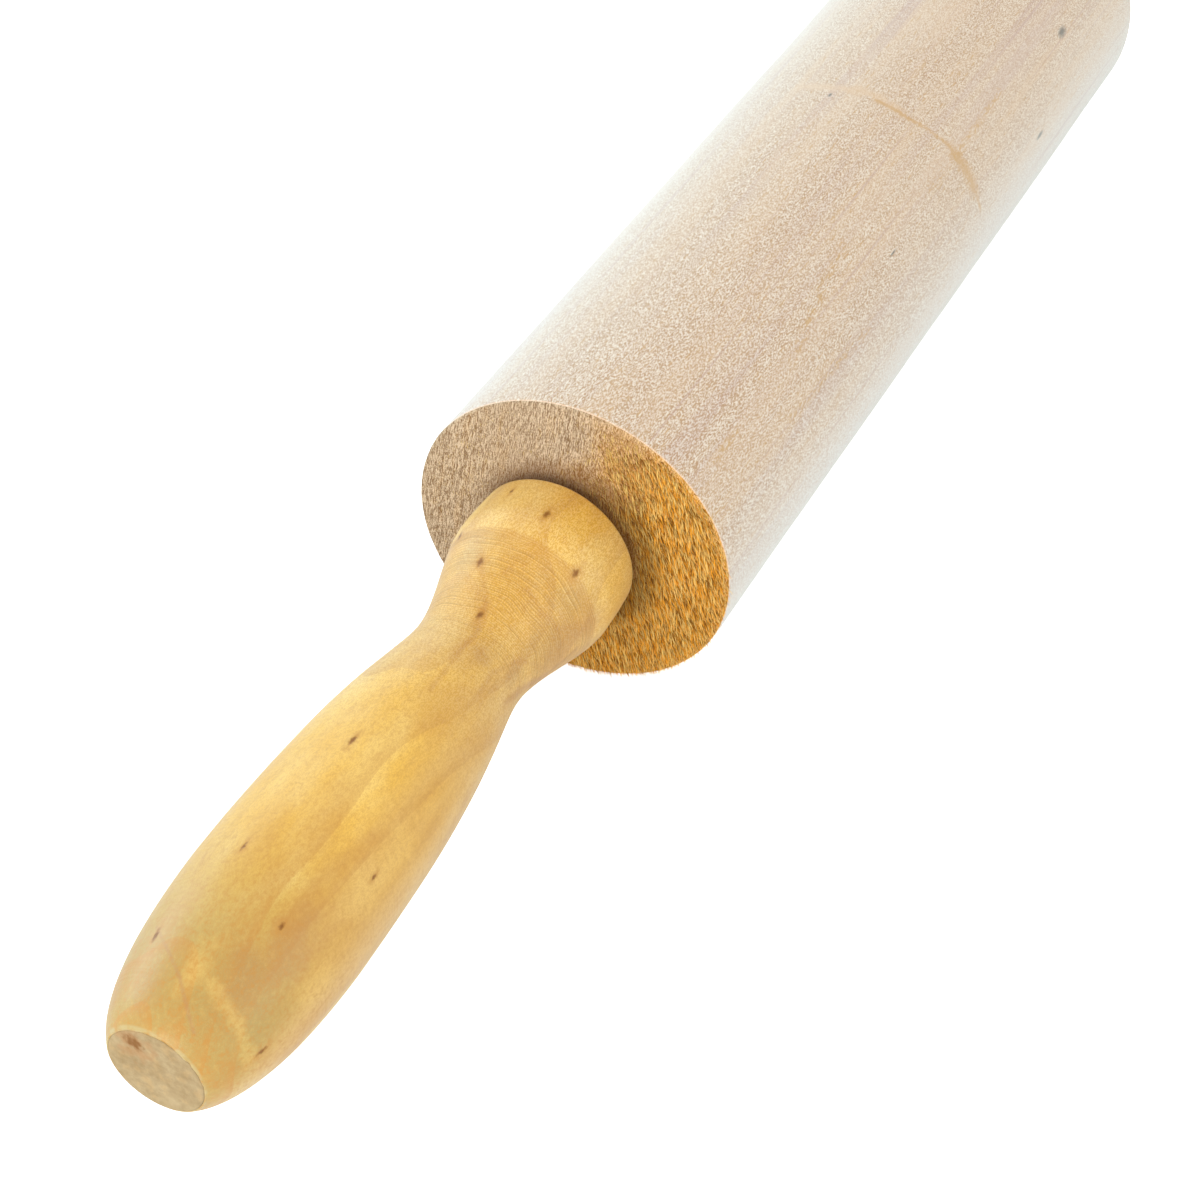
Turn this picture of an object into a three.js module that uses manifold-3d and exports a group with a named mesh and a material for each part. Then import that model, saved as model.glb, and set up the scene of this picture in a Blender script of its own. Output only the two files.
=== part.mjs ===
// A wooden rolling pin: a barrel that turns on a steel axle between two turned handles.
// Millimetres. The pin lies along X with its middle at the origin, and +Z is up.
// Each end is modelled once, outwards along +X, and turned half round for the left end.
import * as THREE from "three";
import { mergeVertices } from "three/addons/utils/BufferGeometryUtils.js";
import Module from "manifold-3d";

// Barrel
const BARREL_LENGTH = 200;
const BARREL_DIAMETER = 55;
const BARREL_EDGE_ROUND = 0.8;
const BARREL_BORE_AIR_GAP = 1.5;

// Axle, stepped down at both ends to a thread of M6
const AXLE_DIAMETER = 8;
const AXLE_SHOULDER_WIDTH = 1;
const THREAD_CHAMFER = 0.6;
const THREAD_PROUD = 1.5;

// Flanged bush in each end of the barrel
const BUSH_LENGTH = 24;
const BUSH_WALL = 2.8;
const BUSH_FLANGE_WIDTH = 2.5;
const BUSH_FLANGE_THICKNESS = 2;

// Washers and nut on the thread
const THRUST_WASHER_WIDTH = 6.1;
const THRUST_WASHER_THICKNESS = 1.2;
const CLAMP_WASHER_WIDTH = 2.8;
const CLAMP_WASHER_THICKNESS = 1.6;
const SPRING_WASHER_WIDTH = 2.7;
const SPRING_WASHER_THICKNESS = 1.6;
const SPRING_WASHER_SLIT = 1.2;
const NUT_WALL = 1.8;
const NUT_HEIGHT = 5;
const NUT_CORNERS = 6;
const NUT_FACE_INSET = 0.25;
const NUT_CHAMFER_ANGLE = 30;

// Handle outline: its stretches from the back face outwards, and the diameters between them
const COLLAR_LENGTH = 8.2;
const NECK_LENGTH = 21.9;
const GRIP_LENGTH = 54.1;
const NOSE_LENGTH = 31.7;
const COLLAR_DIAMETER = 28.2;
const COLLAR_BACK_TAPER = 0.3;
const COLLAR_BACK_ROUND = 0.6;
const WAIST_DIAMETER = 19.2;
const GRIP_DIAMETER = 28.5;
const HANDLE_LIP = 0.5;

// How far each sweep of the outline runs on level before it turns, as a share of its own length
const COLLAR_LEVEL = 0.55;
const NECK_LEVEL_AT_COLLAR = 0.24;
const NECK_LEVEL_AT_WAIST = 0.33;
const GRIP_LEVEL_AT_WAIST = 0.14;
const GRIP_LEVEL_AT_TOP = 0.695;
const NOSE_LEVEL = 0.39;
const NOSE_END_REACH = 0.17;
const NOSE_END_ANGLE = 43.5;

// Wooden plug that closes the handle's end over the nut
const PLUG_LENGTH = 9;
const PLUG_PROUD = 0.2;
const PLUG_CHAMFER = 0.4;
const PLUG_AIR_GAP = 3;

// Clearances
const END_FLOAT = 0.4;
const SEAT_GAP = 0.1;
const RUNNING_CLEARANCE = 0.2;
const PRESS_CLEARANCE = 0.15;
const BOLT_CLEARANCE = 0.2;
const SOCKET_CLEARANCE = 1.15;

// Facets round the axis, and along one sweep of an outline
const BARREL_SIDES = 64;
const HANDLE_SIDES = 40;
const SMALL_SIDES = 24;
const ROUND_STEPS = 2;
const COLLAR_STEPS = 3;
const NECK_STEPS = 6;
const GRIP_STEPS = 7;
const NOSE_STEPS = 7;

// Places along the axis, outwards from the pin's middle
const barrelEnd = BARREL_LENGTH / 2;
const axleShoulder = barrelEnd + END_FLOAT;
const thrustWasherAt = axleShoulder + SEAT_GAP;
const handleBack = thrustWasherAt + THRUST_WASHER_THICKNESS + SEAT_GAP;
const collarAt = handleBack + COLLAR_LENGTH;
const waistAt = collarAt + NECK_LENGTH;
const gripAt = waistAt + GRIP_LENGTH;
const handleEnd = gripAt + NOSE_LENGTH;
const plugInner = handleEnd - PLUG_LENGTH;
const threadEnd = plugInner - PLUG_AIR_GAP;
const nutAt = threadEnd - THREAD_PROUD - NUT_HEIGHT;
const springWasherAt = nutAt - SEAT_GAP - SPRING_WASHER_THICKNESS;
const clampWasherAt = springWasherAt - SEAT_GAP - CLAMP_WASHER_THICKNESS;
const counterboreFloor = clampWasherAt - SEAT_GAP;

// Radii, each from what passes through the piece or holds it
const axleRadius = AXLE_DIAMETER / 2;
const threadRadius = axleRadius - AXLE_SHOULDER_WIDTH;
const boltHoleRadius = threadRadius + BOLT_CLEARANCE;
const barrelBoreRadius = axleRadius + BARREL_BORE_AIR_GAP;
const bushBoreRadius = axleRadius + RUNNING_CLEARANCE;
const bushRadius = bushBoreRadius + BUSH_WALL;
const bushHoleRadius = bushRadius + PRESS_CLEARANCE;
const flangeRadius = bushRadius + BUSH_FLANGE_WIDTH;
const flangeRecessRadius = flangeRadius + PRESS_CLEARANCE;
const thrustWasherRadius = boltHoleRadius + THRUST_WASHER_WIDTH;
const clampWasherRadius = boltHoleRadius + CLAMP_WASHER_WIDTH;
const springWasherRadius = boltHoleRadius + SPRING_WASHER_WIDTH;
const nutFlatRadius = boltHoleRadius + NUT_WALL;
const nutCornerRadius = nutFlatRadius / Math.cos(Math.PI / NUT_CORNERS);
const plugHoleRadius = Math.max(clampWasherRadius, springWasherRadius, nutCornerRadius) + SOCKET_CLEARANCE;
const plugRadius = plugHoleRadius - PRESS_CLEARANCE;
const handleEndRadius = plugHoleRadius + HANDLE_LIP;

const wasm = await Module();
wasm.setup();

const rawWood = new THREE.MeshStandardMaterial({ color: 0xe6d3c0, roughness: 0.75, metalness: 0 });
const handleWood = new THREE.MeshStandardMaterial({ color: 0xdcae62, roughness: 0.5, metalness: 0 });
const plugWood = new THREE.MeshStandardMaterial({ color: 0xc2a48c, roughness: 0.85, metalness: 0 });
const axleSteel = new THREE.MeshStandardMaterial({ color: 0xb9bcc0, roughness: 0.35, metalness: 1 });
const zincSteel = new THREE.MeshStandardMaterial({ color: 0xc8cbc8, roughness: 0.4, metalness: 1 });
const nylon = new THREE.MeshStandardMaterial({ color: 0xeeebe2, roughness: 0.55, metalness: 0 });

// Turns an outline of [radius, place along the axis] points about X, with one facet level underneath.
function turned(outline, sides) {
  const points = outline.map(([radius, along]) => new THREE.Vector2(radius, along));
  const halfFacet = Math.PI / sides;
  const geometry = new THREE.LatheGeometry(points, sides, halfFacet);
  geometry.rotateZ(-Math.PI / 2);
  return geometry;
}

// Turns a closed outline, for a piece with a hole along its axis.
function turnedRing(outline, sides) {
  return turned([...outline, outline[0]], sides);
}

function washer(outerRadius, from, thickness) {
  const outline = [
    [boltHoleRadius, from],
    [outerRadius, from],
    [outerRadius, from + thickness],
    [boltHoleRadius, from + thickness],
  ];
  return turnedRing(outline, SMALL_SIDES);
}

// Cuts a flat shape out of plate that lies square to X.
function stamped(shape, from, thickness) {
  const geometry = new THREE.ExtrudeGeometry(shape, {
    depth: thickness,
    bevelEnabled: false,
    curveSegments: SMALL_SIDES / 2,
  });
  geometry.rotateY(Math.PI / 2);
  geometry.translate(from, 0, 0);
  return geometry;
}

function toSolid(geometry) {
  const bare = geometry.clone();
  bare.deleteAttribute("normal");
  bare.deleteAttribute("uv");
  const merged = mergeVertices(bare);
  const vertProperties = new Float32Array(merged.attributes.position.array);
  const triVerts = new Uint32Array(merged.index.array);
  return new wasm.Manifold(new wasm.Mesh({ numProp: 3, vertProperties, triVerts }));
}

function toGeometry(solid) {
  const mesh = solid.getMesh();
  const geometry = new THREE.BufferGeometry();
  geometry.setAttribute("position", new THREE.BufferAttribute(mesh.vertProperties, 3));
  geometry.setIndex(new THREE.BufferAttribute(mesh.triVerts, 1));
  return geometry;
}

function named(name, geometry, material) {
  const mesh = new THREE.Mesh(geometry, material);
  mesh.name = name;
  return mesh;
}

// Quarter round at the rim of a flat end, from the end's face (at along) to the side (at radius).
function roundedRim(radius, along, size, inwards) {
  const points = [];
  for (let step = 0; step <= ROUND_STEPS; step += 1) {
    const angle = (step / ROUND_STEPS) * (Math.PI / 2);
    const fromSide = size * (1 - Math.sin(angle));
    const fromFace = size * (1 - Math.cos(angle));
    points.push([radius - fromSide, along + inwards * fromFace]);
  }
  return points;
}

// Barrel with its drilled bore, a wider hole for each bush and a recess for its flange
function barrelGeometry() {
  const radius = BARREL_DIAMETER / 2;
  const bushFloor = barrelEnd - BUSH_LENGTH - SEAT_GAP;
  const recessFloor = barrelEnd - BUSH_FLANGE_THICKNESS - SEAT_GAP;
  const leftRim = roundedRim(radius, -barrelEnd, BARREL_EDGE_ROUND, 1);
  const rightRim = roundedRim(radius, barrelEnd, BARREL_EDGE_ROUND, -1).reverse();
  const rightHole = [
    [flangeRecessRadius, barrelEnd],
    [flangeRecessRadius, recessFloor],
    [bushHoleRadius, recessFloor],
    [bushHoleRadius, bushFloor],
    [barrelBoreRadius, bushFloor],
  ];
  const leftHole = rightHole.map(([holeRadius, along]) => [holeRadius, -along]).reverse();
  return turnedRing([...leftRim, ...rightRim, ...rightHole, ...leftHole], BARREL_SIDES);
}

function axleGeometry() {
  const rightHalf = [
    [axleRadius, axleShoulder],
    [threadRadius, axleShoulder],
    [threadRadius, threadEnd - THREAD_CHAMFER],
    [threadRadius - THREAD_CHAMFER, threadEnd],
    [0, threadEnd],
  ];
  const leftHalf = rightHalf.map(([radius, along]) => [radius, -along]).reverse();
  return turned([...leftHalf, ...rightHalf], SMALL_SIDES);
}

// Bush whose flange lies level with the barrel's end
function bushGeometry() {
  const inner = barrelEnd - BUSH_LENGTH;
  const flangeBack = barrelEnd - BUSH_FLANGE_THICKNESS;
  const outline = [
    [bushBoreRadius, inner],
    [bushRadius, inner],
    [bushRadius, flangeBack],
    [flangeRadius, flangeBack],
    [flangeRadius, barrelEnd],
    [bushBoreRadius, barrelEnd],
  ];
  return turnedRing(outline, SMALL_SIDES);
}

// Points after the first on a smooth sweep of the handle's outline, steered by two control points
function sweep(from, leaving, arriving, to, steps) {
  const corners = [from, leaving, arriving, to].map((point) => new THREE.Vector2(...point));
  const curve = new THREE.CubicBezierCurve(...corners);
  return curve.getPoints(steps).slice(1).map((point) => [point.x, point.y]);
}

// A sweep that runs level at both ends, over the given shares of its length
function levelSweep(from, to, levelAfter, levelBefore, steps) {
  const length = to[1] - from[1];
  const leaving = [from[0], from[1] + levelAfter * length];
  const arriving = [to[0], to[1] - levelBefore * length];
  return sweep(from, leaving, arriving, to, steps);
}

// The rounded nose, which runs level at the grip and meets the handle's end at an angle
function noseSweep(from, to, steps) {
  const reach = NOSE_END_REACH * NOSE_LENGTH;
  const rise = reach * Math.tan(THREE.MathUtils.degToRad(NOSE_END_ANGLE));
  const leaving = [from[0], from[1] + NOSE_LEVEL * NOSE_LENGTH];
  const arriving = [to[0] + rise, to[1] - reach];
  return sweep(from, leaving, arriving, to, steps);
}

// Handle with a bolt hole through it and a counterbore for the nut and the plug
function handleGeometry() {
  const collar = [COLLAR_DIAMETER / 2, collarAt];
  const waist = [WAIST_DIAMETER / 2, waistAt];
  const grip = [GRIP_DIAMETER / 2, gripAt];
  const end = [handleEndRadius, handleEnd];
  const back = roundedRim(collar[0] - COLLAR_BACK_TAPER, handleBack, COLLAR_BACK_ROUND, 1);
  const collarStart = back[back.length - 1];
  const outline = [
    ...back,
    ...levelSweep(collarStart, collar, 0, COLLAR_LEVEL, COLLAR_STEPS),
    ...levelSweep(collar, waist, NECK_LEVEL_AT_COLLAR, NECK_LEVEL_AT_WAIST, NECK_STEPS),
    ...levelSweep(waist, grip, GRIP_LEVEL_AT_WAIST, GRIP_LEVEL_AT_TOP, GRIP_STEPS),
    ...noseSweep(grip, end, NOSE_STEPS),
    [plugHoleRadius, handleEnd],
    [plugHoleRadius, counterboreFloor],
    [boltHoleRadius, counterboreFloor],
    [boltHoleRadius, handleBack],
  ];
  return turnedRing(outline, HANDLE_SIDES);
}

// Split washer, pressed flat under the nut
function springWasherGeometry() {
  const halfSlit = SPRING_WASHER_SLIT / 2;
  const outerAngle = Math.asin(halfSlit / springWasherRadius);
  const innerAngle = Math.asin(halfSlit / boltHoleRadius);
  const fullTurn = 2 * Math.PI;
  const shape = new THREE.Shape();
  shape.absarc(0, 0, springWasherRadius, outerAngle, fullTurn - outerAngle, false);
  shape.absarc(0, 0, boltHoleRadius, fullTurn - innerAngle, innerAngle, true);
  return stamped(shape, springWasherAt, SPRING_WASHER_THICKNESS);
}

function hexagonWithHole() {
  const corners = [];
  for (let corner = 0; corner < NUT_CORNERS; corner += 1) {
    const angle = (corner / NUT_CORNERS) * 2 * Math.PI;
    corners.push(new THREE.Vector2(Math.cos(angle), Math.sin(angle)).multiplyScalar(nutCornerRadius));
  }
  const hexagon = new THREE.Shape(corners);
  const hole = new THREE.Path();
  hole.absarc(0, 0, boltHoleRadius, 0, 2 * Math.PI, true);
  hexagon.holes.push(hole);
  return hexagon;
}

// Hexagon nut, with its corners chamfered on both faces
function nutGeometry() {
  const nutEnd = nutAt + NUT_HEIGHT;
  const faceRadius = nutFlatRadius - NUT_FACE_INSET;
  const blankRadius = nutCornerRadius / Math.cos(Math.PI / SMALL_SIDES);
  const chamfer = (blankRadius - faceRadius) * Math.tan(THREE.MathUtils.degToRad(NUT_CHAMFER_ANGLE));
  const blankOutline = [
    [0, nutAt],
    [faceRadius, nutAt],
    [blankRadius, nutAt + chamfer],
    [blankRadius, nutEnd - chamfer],
    [faceRadius, nutEnd],
    [0, nutEnd],
  ];
  const blank = toSolid(turned(blankOutline, SMALL_SIDES));
  const prism = toSolid(stamped(hexagonWithHole(), nutAt, NUT_HEIGHT));
  return toGeometry(prism.intersect(blank));
}

// Plug that stands a little proud of the handle's lip
function plugGeometry() {
  const plugOuter = handleEnd + PLUG_PROUD;
  const outline = [
    [0, plugInner],
    [plugRadius - PLUG_CHAMFER, plugInner],
    [plugRadius, plugInner + PLUG_CHAMFER],
    [plugRadius, plugOuter - PLUG_CHAMFER],
    [plugRadius - PLUG_CHAMFER, plugOuter],
    [0, plugOuter],
  ];
  return turned(outline, HANDLE_SIDES);
}

// Everything that is fitted at one end of the pin, outwards along +X
function endOfPin(side) {
  const thrustWasher = washer(thrustWasherRadius, thrustWasherAt, THRUST_WASHER_THICKNESS);
  const clampWasher = washer(clampWasherRadius, clampWasherAt, CLAMP_WASHER_THICKNESS);
  const end = new THREE.Group();
  end.add(named(`${side}_bush`, bushGeometry(), nylon));
  end.add(named(`${side}_thrust_washer`, thrustWasher, zincSteel));
  end.add(named(`${side}_handle`, handleGeometry(), handleWood));
  end.add(named(`${side}_clamp_washer`, clampWasher, zincSteel));
  end.add(named(`${side}_spring_washer`, springWasherGeometry(), zincSteel));
  end.add(named(`${side}_nut`, nutGeometry(), zincSteel));
  end.add(named(`${side}_end_plug`, plugGeometry(), plugWood));
  return end;
}

const rollingPin = new THREE.Group();
const rightEnd = endOfPin("right");
const leftEnd = endOfPin("left");
leftEnd.rotation.z = Math.PI;
rollingPin.add(named("barrel", barrelGeometry(), rawWood));
rollingPin.add(named("axle", axleGeometry(), axleSteel));
rollingPin.add(rightEnd, leftEnd);

export default rollingPin;
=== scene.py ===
"""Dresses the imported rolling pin: raw barrel, varnished handles, steel fittings, white studio."""

import math

import bmesh
import bpy
from mathutils import Euler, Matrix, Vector


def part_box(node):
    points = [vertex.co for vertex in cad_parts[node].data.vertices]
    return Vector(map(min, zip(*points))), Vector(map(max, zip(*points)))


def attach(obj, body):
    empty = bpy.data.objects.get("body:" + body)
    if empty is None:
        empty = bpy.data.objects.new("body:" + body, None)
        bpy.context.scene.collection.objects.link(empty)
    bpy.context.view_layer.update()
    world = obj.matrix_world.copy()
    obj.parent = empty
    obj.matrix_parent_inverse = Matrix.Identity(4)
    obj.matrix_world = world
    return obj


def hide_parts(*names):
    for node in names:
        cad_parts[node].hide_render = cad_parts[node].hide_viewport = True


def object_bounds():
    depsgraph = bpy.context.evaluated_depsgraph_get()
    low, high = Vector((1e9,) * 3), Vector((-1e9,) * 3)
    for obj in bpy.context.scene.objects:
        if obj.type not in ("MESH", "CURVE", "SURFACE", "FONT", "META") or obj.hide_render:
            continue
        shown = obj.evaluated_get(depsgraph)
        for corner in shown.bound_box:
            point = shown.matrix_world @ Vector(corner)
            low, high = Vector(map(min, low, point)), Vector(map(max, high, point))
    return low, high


bl_info = {
    "name": "Rolling Pin",
    "version": (1, 0, 0),
    "blender": (4, 5, 0),
    "location": "3D View > Sidebar > Rolling Pin",
    "description": "Models a wooden rolling pin with turning handles over its packed frame",
    "category": "Object",
}

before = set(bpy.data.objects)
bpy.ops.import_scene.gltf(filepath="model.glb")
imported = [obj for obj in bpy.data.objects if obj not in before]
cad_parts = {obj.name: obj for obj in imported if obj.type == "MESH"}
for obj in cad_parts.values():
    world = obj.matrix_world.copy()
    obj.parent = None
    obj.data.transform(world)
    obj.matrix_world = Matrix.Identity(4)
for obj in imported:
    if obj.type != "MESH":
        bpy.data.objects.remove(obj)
cad_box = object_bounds()

MM = 0.001
PER_MM = (1 / MM, 1 / MM, 1 / MM)
ORIGIN = (0.0, 0.0, 0.0)
ALONG_PIN = (1.0, 0.0, 0.0)
ACROSS_PIN = (0.0, 1.0, 1.0)
PHOTO_SIDE = 1200
SENSOR_WIDTH = 36

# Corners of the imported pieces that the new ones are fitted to
BARREL_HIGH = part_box("barrel")[1]
BUSH_LOW, BUSH_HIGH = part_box("right_bush")
WASHER_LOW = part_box("right_clamp_washer")[0]
AXLE_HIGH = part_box("axle")[1]
HANDLE_LOW, HANDLE_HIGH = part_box("right_handle")
PLUG_LOW, PLUG_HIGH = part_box("right_end_plug")

# Room for the fittings: the bush's wall and flange, the step to the thread, a gap under a washer
BUSH_WALL = 1.65 * MM
RECESS_DEPTH = 2.1 * MM
THREAD_STEP = 1.0 * MM
SEAT_GAP = 0.1 * MM

# The handle's lip round the plug, and the plug's rounded edge
LIP_PAST_PLUG = 0.65 * MM
LIP_RADIUS = PLUG_HIGH.z + LIP_PAST_PLUG
LIP_DEPTH = 1.0 * MM
PLUG_EDGE = 0.3 * MM

# Tests of place: how far behind an end its roughened face, its burr and its sawn faces still lie
PLUG_FACE_DEPTH = 0.05 * MM
BARREL_FACE_DEPTH = 0.35 * MM
BURR_DEPTH = 0.4 * MM
SAWN_DEPTH = 0.6 * MM
# Where saw marks start outside the recess, how far a face looks along the pin, a hair's breadth
RECESS_MARGIN = 0.2 * MM
FACING_ALONG = 0.5
HAIR = 0.01 * MM

# Sizes of the cloudy patterns that roughen the wood
BARREL_WAVES = 25 * MM
HANDLE_WAVES = 22 * MM
BARREL_SAW_GRAIN = 0.6 * MM
PLUG_SAW_GRAIN = 1.2 * MM
BURR_GRAIN = 1.5 * MM

# Raised fibres on the barrel's ends: how close they stand, rise and stray, and the saw's way
FIBRES_PER_MM2 = 18
FIBRE_SEED = 7
FIBRE_RISE = (0.4, 0.4, 0.4)
FIBRE_SCATTER = 0.45
SAW_WAY = (0.0, -0.68, -0.75)
# Points and faces are counted outwards from here, so that random fibres come out the same each run
COUNTING_CORNER = (-0.31, 0.173, 0.097)

# Sides of the wood: the barrel's side with a painted light edge, the side where its torn grain
# lies, and the handle's side with painted shade and a painted lit edge
PAINTED_LIGHT_SIDE = (0.0, -0.89, -0.45)
TORN_SIDE = (0.0, -0.9, -0.42)
SHADED_SIDE = (0.0, -0.8, -0.6)
BURR_SIDE = Vector((0, 0.6, 0.8))
RIGHT_HANDLE_TURN = (math.radians(140), 0, math.pi)
SAW_SLANT = (math.radians(-8), 0, 0)

# Tones that only darken or lighten another colour, and how much of it they leave
SAWN_SHADE = (0.5, 0.45, 0.37)
SAWN_SHINE = (1.0, 0.86, 0.62)
SAWN_SHINE_SHARE = 0.36
# Share of the dark fibre colour at a fibre's root: painted shade where the fibres crowd
ROOT_SHADE_SHARE = 0.4
FULLY = 1.0
STEEL_SHADE = (0.2, 0.2, 0.2)
RAW_SHEEN = (0.90, 0.98, 1.0, 1.0)
VARNISH_SHEEN = (1.0, 0.97, 0.88, 1.0)
WHITE = (1.0, 1.0, 1.0, 1.0)

# How far each sweep of the handle's outline runs level at its start and end, as shares of its run
COLLAR_LEVELS = (0, 0.55)
NECK_LEVELS = (0.24, 0.33)
GRIP_LEVELS = (0.14, 0.695)
NOSE_LEVEL_START = 0.39
NOSE_END_REACH = 0.17
NOSE_END_ANGLE = math.radians(43.5)

# Soft lights: place, power and colour, the side ones a little cool
SOFTBOX_SIDE = 1.0
SOFTBOXES = [
    ("left_softbox", (0.0, 1.5, 0.5), 10, (0.5, 0.85, 1.0)),
    ("back_softbox", (1.0, 1.0, 0.7), 3, (0.7, 0.9, 1.0)),
    ("right_softbox", (0.2, -1.5, 0.2), 4, (0.6, 0.93, 1.0)),
    ("front_softbox", (-1.4, -0.1, 0.4), 11, (1.0, 0.97, 0.93)),
]
FLOOR_SIDE = 6
NEAREST_SEEN = 0.01

# Where the turning tool's lines begin on the neck, in mm past the collar's crest
NECK_LINES_START = 4.6

# Smoothness of the turned pieces
BARREL_SIDES = 160
HANDLE_SIDES = 160
PLUG_SIDES = 128
SMOOTH_ANGLE = math.radians(40)

# Places on the photograph of the wood's marks: pixel across, pixel down, length and width in mm
END_PITH = (133, 1043)
PITH_STAIN = [(*END_PITH, 8.0, 5.5)]
BARREL_SPECKS = [
    (1062, 32, 2.4, 1.2),
    (1040, 135, 2.2, 0.6),
    (830, 95, 0.9, 0.35),
    (893, 253, 1.7, 0.22),
]
HANDLE_FLECKS = [
    (547, 514, 2.2, 0.9),
    (480, 562, 2.4, 1.1),
    (576, 573, 2.2, 1.0),
    (480, 615, 2.4, 0.9),
    (460, 536, 2.4, 0.9),
    (512, 491, 1.6, 0.6),
    (353, 740, 2.4, 0.7),
    (244, 846, 2.0, 0.5),
    (282, 926, 1.6, 0.7),
    (374, 877, 1.4, 0.5),
    (156, 935, 3.4, 0.8),
    (262, 1051, 3.0, 0.7),
]
# A fleck's halo, tail and core: colour, share, growth along and across, how ragged in what size
FLECK_LAYERS = [
    ("honey_dark", 0.5, 2.6, 2.6, 1.8, 1.4),
    ("honey_dark", 0.7, 2.2, 0.8, 1.2, 0.8),
    ("fleck", 0.9, 0.85, 1.2, 1.3, 0.5),
]
# Soft patches of the handle's figure, and one painted highlight on the collar: colour, share, size
# of the ragged edge, and places as above
HANDLE_PATCHES = [
    ("honey_dark", 0.3, 5.0, [
        (572, 636, 9.0, 4.5),
        (470, 655, 10.0, 4.0),
        (440, 705, 12.0, 6.0),
        (330, 815, 16.0, 5.0),
        (300, 930, 12.0, 4.0),
        (255, 968, 12.0, 6.0),
        (175, 915, 8.0, 3.0),
    ]),
    ("honey_olive", 0.4, 5.0, [
        (576, 600, 9.0, 5.0),
        (552, 640, 9.0, 6.0),
        (470, 560, 7.0, 4.0),
        (245, 1010, 12.0, 9.0),
    ]),
    ("honey_brown", 0.4, 3.5, [
        (562, 640, 9.0, 6.0),
        (590, 626, 6.0, 4.0),
        (117, 990, 4.0, 2.5),
        (481, 656, 4.0, 2.5),
        (515, 672, 5.0, 2.5),
        (282, 952, 12.0, 5.0),
        (252, 978, 10.0, 5.0),
        (150, 990, 8.0, 3.0),
    ]),
    ("honey_pale", 0.32, 5.0, [
        # The first place below is a painted highlight on the collar's rounded band
        (492, 520, 5.0, 4.0),
        (598, 572, 8.0, 5.0),
        (300, 755, 24.0, 4.0),
        (385, 870, 20.0, 4.0),
        (195, 968, 8.0, 3.0),
        (320, 980, 14.0, 4.0),
    ]),
]
# Its bands, lines and streak: colour, share, width in mm, how ragged in what size, pixels passed
HANDLE_FIGURE = [
    ("honey_pale", 0.28, 1.7, 1.6, 2.0, [[(212, 985), (236, 1022), (250, 1060)]]),
    ("honey_dark", 0.75, 1.3, 1.6, 2.0, [[(505, 703), (545, 676), (575, 650)]]),
    ("honey_dark", 0.42, 0.7, 1.7, 1.5, [
        [(481, 566), (486, 600), (478, 630), (455, 657), (430, 690)],
        [(528, 590), (541, 612), (560, 632)],
        [(478, 694), (494, 672), (520, 660), (546, 668)],
    ]),
    ("honey_brown", 0.7, 0.45, 1.0, 1.5, [
        [(157, 927), (168, 950), (180, 978), (187, 1008), (194, 1034)],
    ]),
    ("honey_dark", 0.42, 2.4, 1.8, 3.0, [[(375, 835), (330, 872), (300, 905), (286, 925)]]),
]
# The barrel's rows of pores, its graze, its scratch and the gouge in it, as pixels on their way
BARREL_PORE_ROWS = [
    [(843, 245), (818, 300), (792, 362)],
    [(868, 330), (830, 372), (790, 420)],
    [(737, 433), (715, 462)],
    [(1000, 92), (960, 150), (930, 190)],
]
BARREL_GRAZE = [[(803, 87), (835, 88), (870, 93), (900, 112)]]
BARREL_SCRATCH = [[(877, 101), (907, 118), (949, 146), (966, 169), (980, 209)]]
BARREL_GOUGE = [[(955, 155), (966, 170), (974, 190)]]


def length(name, millimetres, description):
    """A size, shown in the scene's own unit."""
    return bpy.props.FloatProperty(
        name=name,
        description=description,
        default=millimetres * MM,
        min=0,
        subtype="DISTANCE",
        unit="LENGTH",
    )


def angle(name, degrees, description):
    """An angle, given in degrees."""
    default = math.radians(degrees)
    return bpy.props.FloatProperty(
        name=name, description=description, default=default, subtype="ANGLE", unit="ROTATION"
    )


def colour(name, tone, description):
    """A linear colour."""
    return bpy.props.FloatVectorProperty(
        name=name, description=description, default=tone, size=3, min=0, max=1, subtype="COLOR"
    )


def strength(name, amount, description):
    """How strong a light is."""
    return bpy.props.FloatProperty(name=name, description=description, default=amount, min=0)


class PinSizes(bpy.types.PropertyGroup):
    """Sizes of the turned wooden pieces"""

    barrel_rim_round: length("Barrel Rim", 0.5, "Rounding of the barrel's rims")
    press_clearance: length("Fit", 0.15, "Gap round a pressed or glued piece")
    plug_clearance: length("Plug Fit", 0.03, "Gap round the glued plug")
    bore_air_gap: length("Bore Gap", 1.5, "Gap round the axle in the barrel")
    bolt_clearance: length("Bolt Gap", 0.2, "Gap round the thread in the handle")
    collar_length: length("Collar", 8.2, "From the handle's back to its collar's crest")
    neck_length: length("Neck", 21.9, "From the collar's crest to the waist")
    grip_length: length("Grip", 54.1, "From the waist to the thickest place")
    collar_radius: length("Collar Radius", 14.1, "Radius of the collar's crest")
    collar_taper: length("Collar Taper", 0.3, "How much the collar narrows to its back")
    collar_round: length("Collar Round", 0.6, "Rounding of the collar's back edge")
    waist_radius: length("Waist Radius", 9.6, "Radius of the waist")
    grip_radius: length("Grip Radius", 14.25, "Radius of the thickest place")
    lip_width: length("Lip", 0.15, "Width of the handle's lip round its plug")
    burr_height: length("Burr", 0.5, "Height of the torn edge on the lip")
    handle_offset: length("Handle Offset", 1.49, "How far the handle's back is off the axle")
    handle_lean: angle("Handle Lean", 1.02, "How far the handle leans back over the axle")
    face_offset: length("Face Offset", 0.5, "How much is cut off the middle of the near end")
    face_lean: angle("Face Lean", 2.62, "How far the near end is cut out of square")
    turning_unevenness: length("Unevenness", 0.25, "How far the turned wood is from true")
    saw_roughness: length("Saw Roughness", 0.12, "Depth of the saw's marks in the end grain")
    fibre_length: length("Fibre Length", 2.3, "Longest raised fibre on the barrel's ends")
    fibre_width: length("Fibre Width", 0.28, "Width of a raised fibre at its root")


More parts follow.
